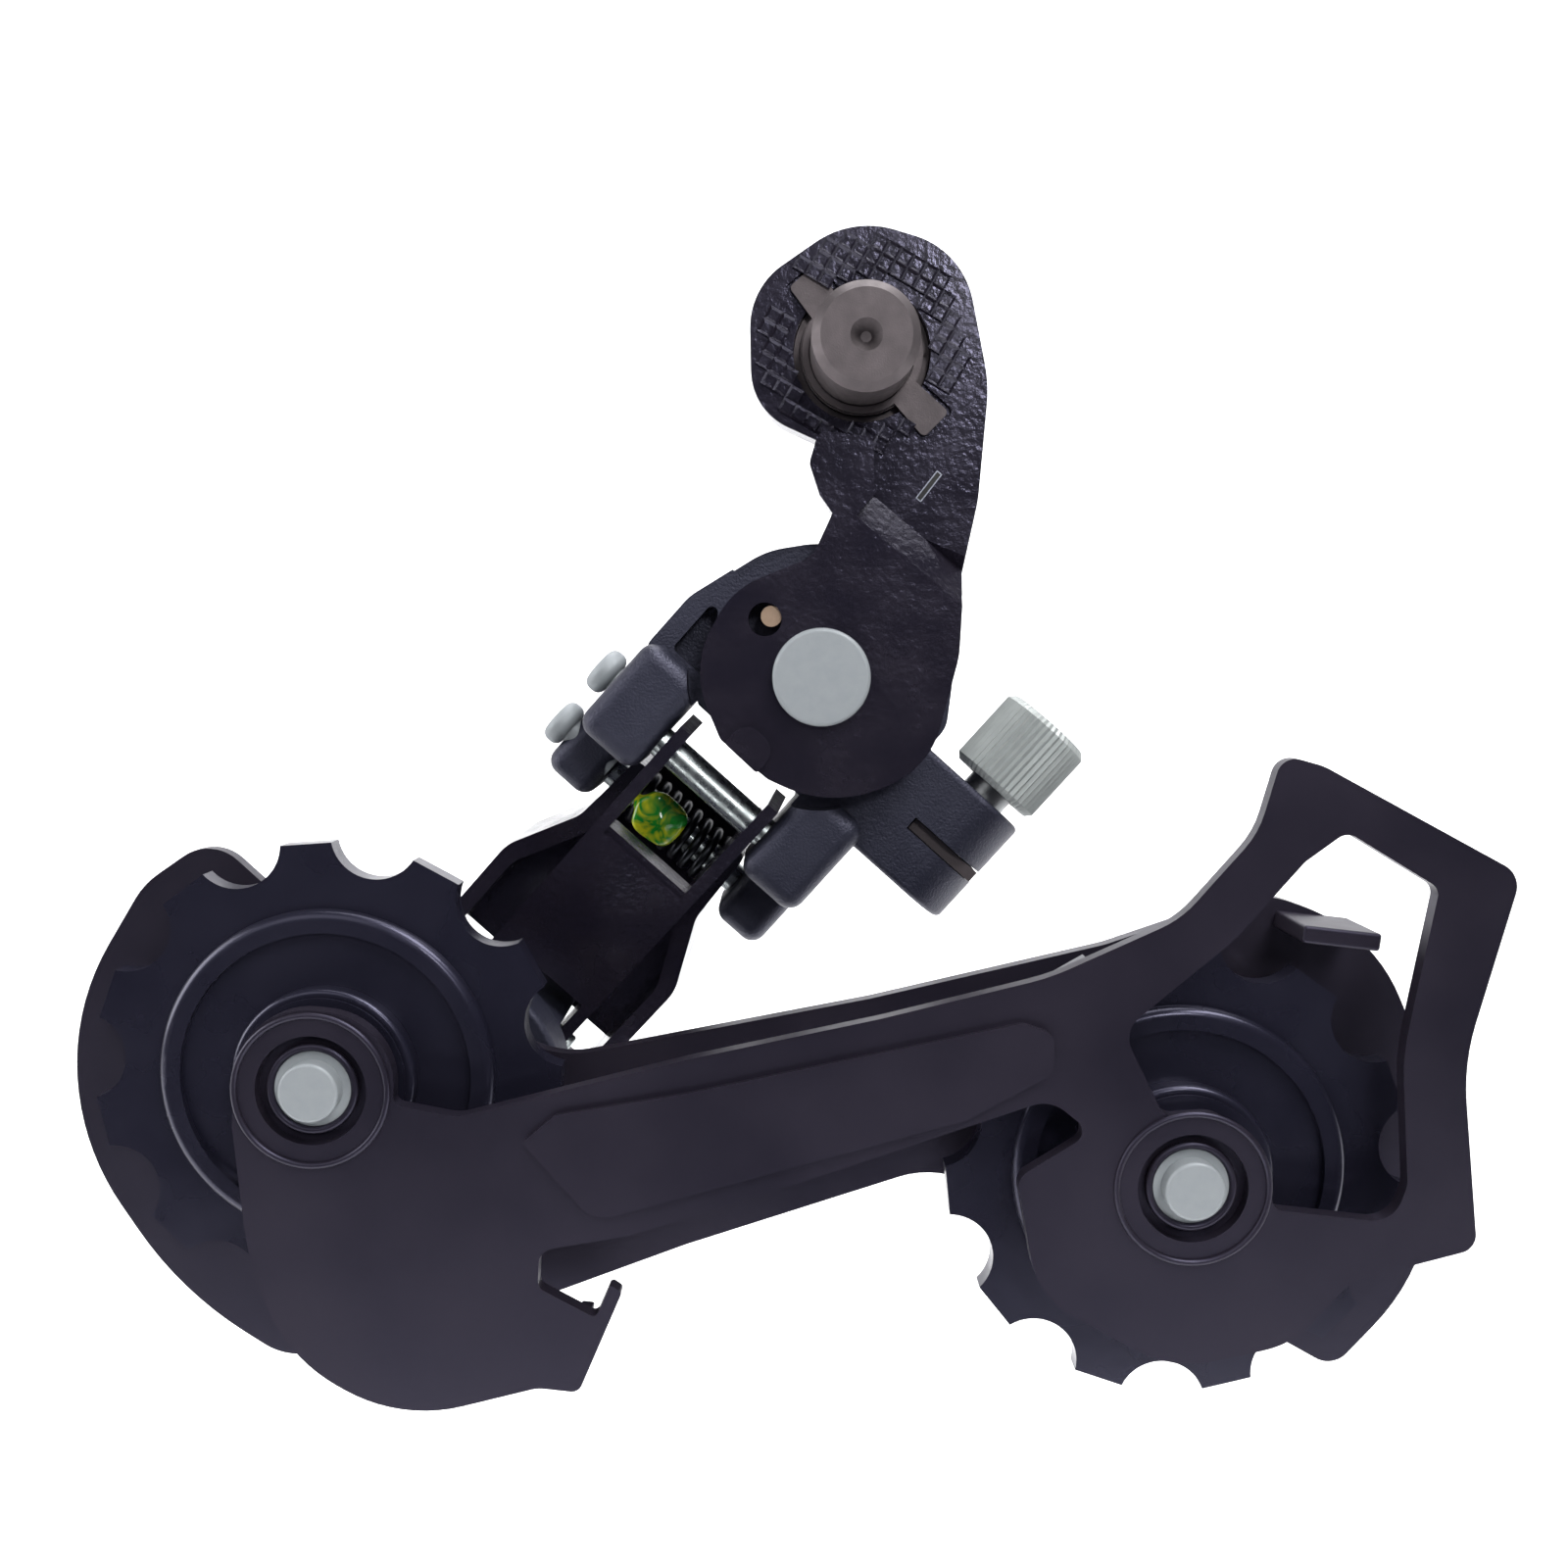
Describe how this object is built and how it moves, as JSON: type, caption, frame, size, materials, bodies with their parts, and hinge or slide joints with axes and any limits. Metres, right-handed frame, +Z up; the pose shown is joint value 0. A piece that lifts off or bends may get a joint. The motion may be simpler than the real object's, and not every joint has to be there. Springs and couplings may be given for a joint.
{
  "type": "rear bicycle derailleur",
  "caption": "Long-cage rear derailleur with bracket mount, sprung parallelogram, two toothed pulleys, barrel adjuster and limit screws.",
  "frame": {"origin": "axis of the hanger bolt on the bracket's mounting face", "axes": "+X towards the back of the bicycle, +Y away from the wheel, +Z up"},
  "size_m": [0.131, 0.0444, 0.1091],
  "materials": {
    "black_sheet": "black electrophoretic coat on pressed steel",
    "black_moulding": "satin glass-filled nylon",
    "pulley_plastic": "moulded acetal",
    "zinc_steel": "bright zinc plated steel",
    "dark_steel": "dark phosphated steel",
    "spring_steel": "oiled spring wire",
    "knob_plastic": "grey moulded plastic",
    "bush_steel": "turned steel"
  },
  "bodies": {
    "bracket": {"bracket_plate": "black_sheet", "stop_washer": "zinc_steel", "b_axle": "zinc_steel", "b_axle_clip": "spring_steel"},
    "hanger_bolt": {"hanger_bolt": "dark_steel", "bolt_ring": "dark_steel"},
    "upper_knuckle": {"b_body": "black_moulding", "pin_upper_inner": "zinc_steel", "pin_upper_outer": "zinc_steel", "adjuster_nut": "zinc_steel", "barrel_stem": "bush_steel", "return_spring": "spring_steel", "b_spring": "spring_steel"},
    "barrel": {"barrel_knob": "knob_plastic"},
    "limit_high": {"limit_screw_high": "dark_steel"},
    "limit_low": {"limit_screw_low": "dark_steel"},
    "inner_link": {"inner_link": "black_sheet"},
    "outer_link": {"outer_link": "black_sheet", "cable_clamp_plate": "zinc_steel", "cable_clamp_bolt": "zinc_steel"},
    "lower_knuckle": {"p_body": "black_moulding", "pin_lower_inner": "zinc_steel", "pin_lower_outer": "zinc_steel", "p_spring": "spring_steel"},
    "cage": {"cage_inner_plate": "black_sheet", "cage_outer_plate": "black_sheet", "cage_stop_pin": "zinc_steel", "p_axle": "zinc_steel", "guide_bush": "bush_steel", "guide_axle": "zinc_steel", "guide_dust_cap_in": "pulley_plastic", "guide_dust_cap_out": "pulley_plastic", "tension_bush": "bush_steel", "tension_axle": "zinc_steel", "tension_dust_cap_in": "pulley_plastic", "tension_dust_cap_out": "pulley_plastic"},
    "guide_wheel": {"guide_pulley": "pulley_plastic"},
    "tension_wheel": {"tension_pulley": "pulley_plastic"}
  },
  "joints": [
    {"name": "hanger_bolt_turn", "type": "hinge", "parent": "bracket", "child": "hanger_bolt", "pos_m": [0, 0, 0], "axis": [0, 1, 0], "continuous": true},
    {"name": "upper_pivot", "type": "hinge", "parent": "bracket", "child": "upper_knuckle", "pos_m": [-0.0039, 0.01, -0.031], "axis": [0, 1, 0], "range_deg": [0, 30], "stiffness_Nm_per_rad": 0.8, "springref_deg": -34.38},
    {"name": "shift_swing", "type": "hinge", "parent": "upper_knuckle", "child": "inner_link", "pos_m": [-0.0146, 0.0015, -0.042], "axis": [-0.7431, 0, 0.6691], "range_deg": [0, 52], "stiffness_Nm_per_rad": 0.35, "springref_deg": -34.38},
    {"name": "outer_swing", "type": "hinge", "parent": "upper_knuckle", "child": "outer_link", "pos_m": [-0.01922, 0.0125, -0.04713], "axis": [-0.7431, 0, 0.6691], "range_deg": [0, 52]},
    {"name": "knuckle_level", "type": "hinge", "parent": "inner_link", "child": "lower_knuckle", "pos_m": [-0.03569, 0.00706, -0.06542], "axis": [-0.7431, 0, 0.6691], "range_deg": [-52, 0]},
    {"name": "cage_swing", "type": "hinge", "parent": "lower_knuckle", "child": "cage", "pos_m": [-0.04044, 0, -0.0707], "axis": [0, 1, 0], "range_deg": [0, 95], "stiffness_Nm_per_rad": 0.15, "springref_deg": -85.94},
    {"name": "guide_spin", "type": "hinge", "parent": "cage", "child": "guide_wheel", "pos_m": [-0.0491, -0.01155, -0.067], "axis": [0, 1, 0], "continuous": true},
    {"name": "tension_spin", "type": "hinge", "parent": "cage", "child": "tension_wheel", "pos_m": [0.0287, -0.01155, -0.07586], "axis": [0, 1, 0], "continuous": true},
    {"name": "barrel_turn", "type": "hinge", "parent": "upper_knuckle", "child": "barrel", "pos_m": [0.01469, 0.006, -0.04146], "axis": [0.6691, 0, 0.7431], "continuous": true},
    {"name": "limit_high_turn", "type": "hinge", "parent": "upper_knuckle", "child": "limit_high", "pos_m": [-0.02494, 0.0054, -0.03107], "axis": [-0.7431, 0, 0.6691], "continuous": true},
    {"name": "limit_low_turn", "type": "hinge", "parent": "upper_knuckle", "child": "limit_low", "pos_m": [-0.02976, 0.0084, -0.03642], "axis": [-0.7431, 0, 0.6691], "continuous": true}
  ],
  "couplings": [
    {"joint": "outer_swing", "follows": "shift_swing", "ratio": 1},
    {"joint": "knuckle_level", "follows": "shift_swing", "ratio": -1}
  ]
}
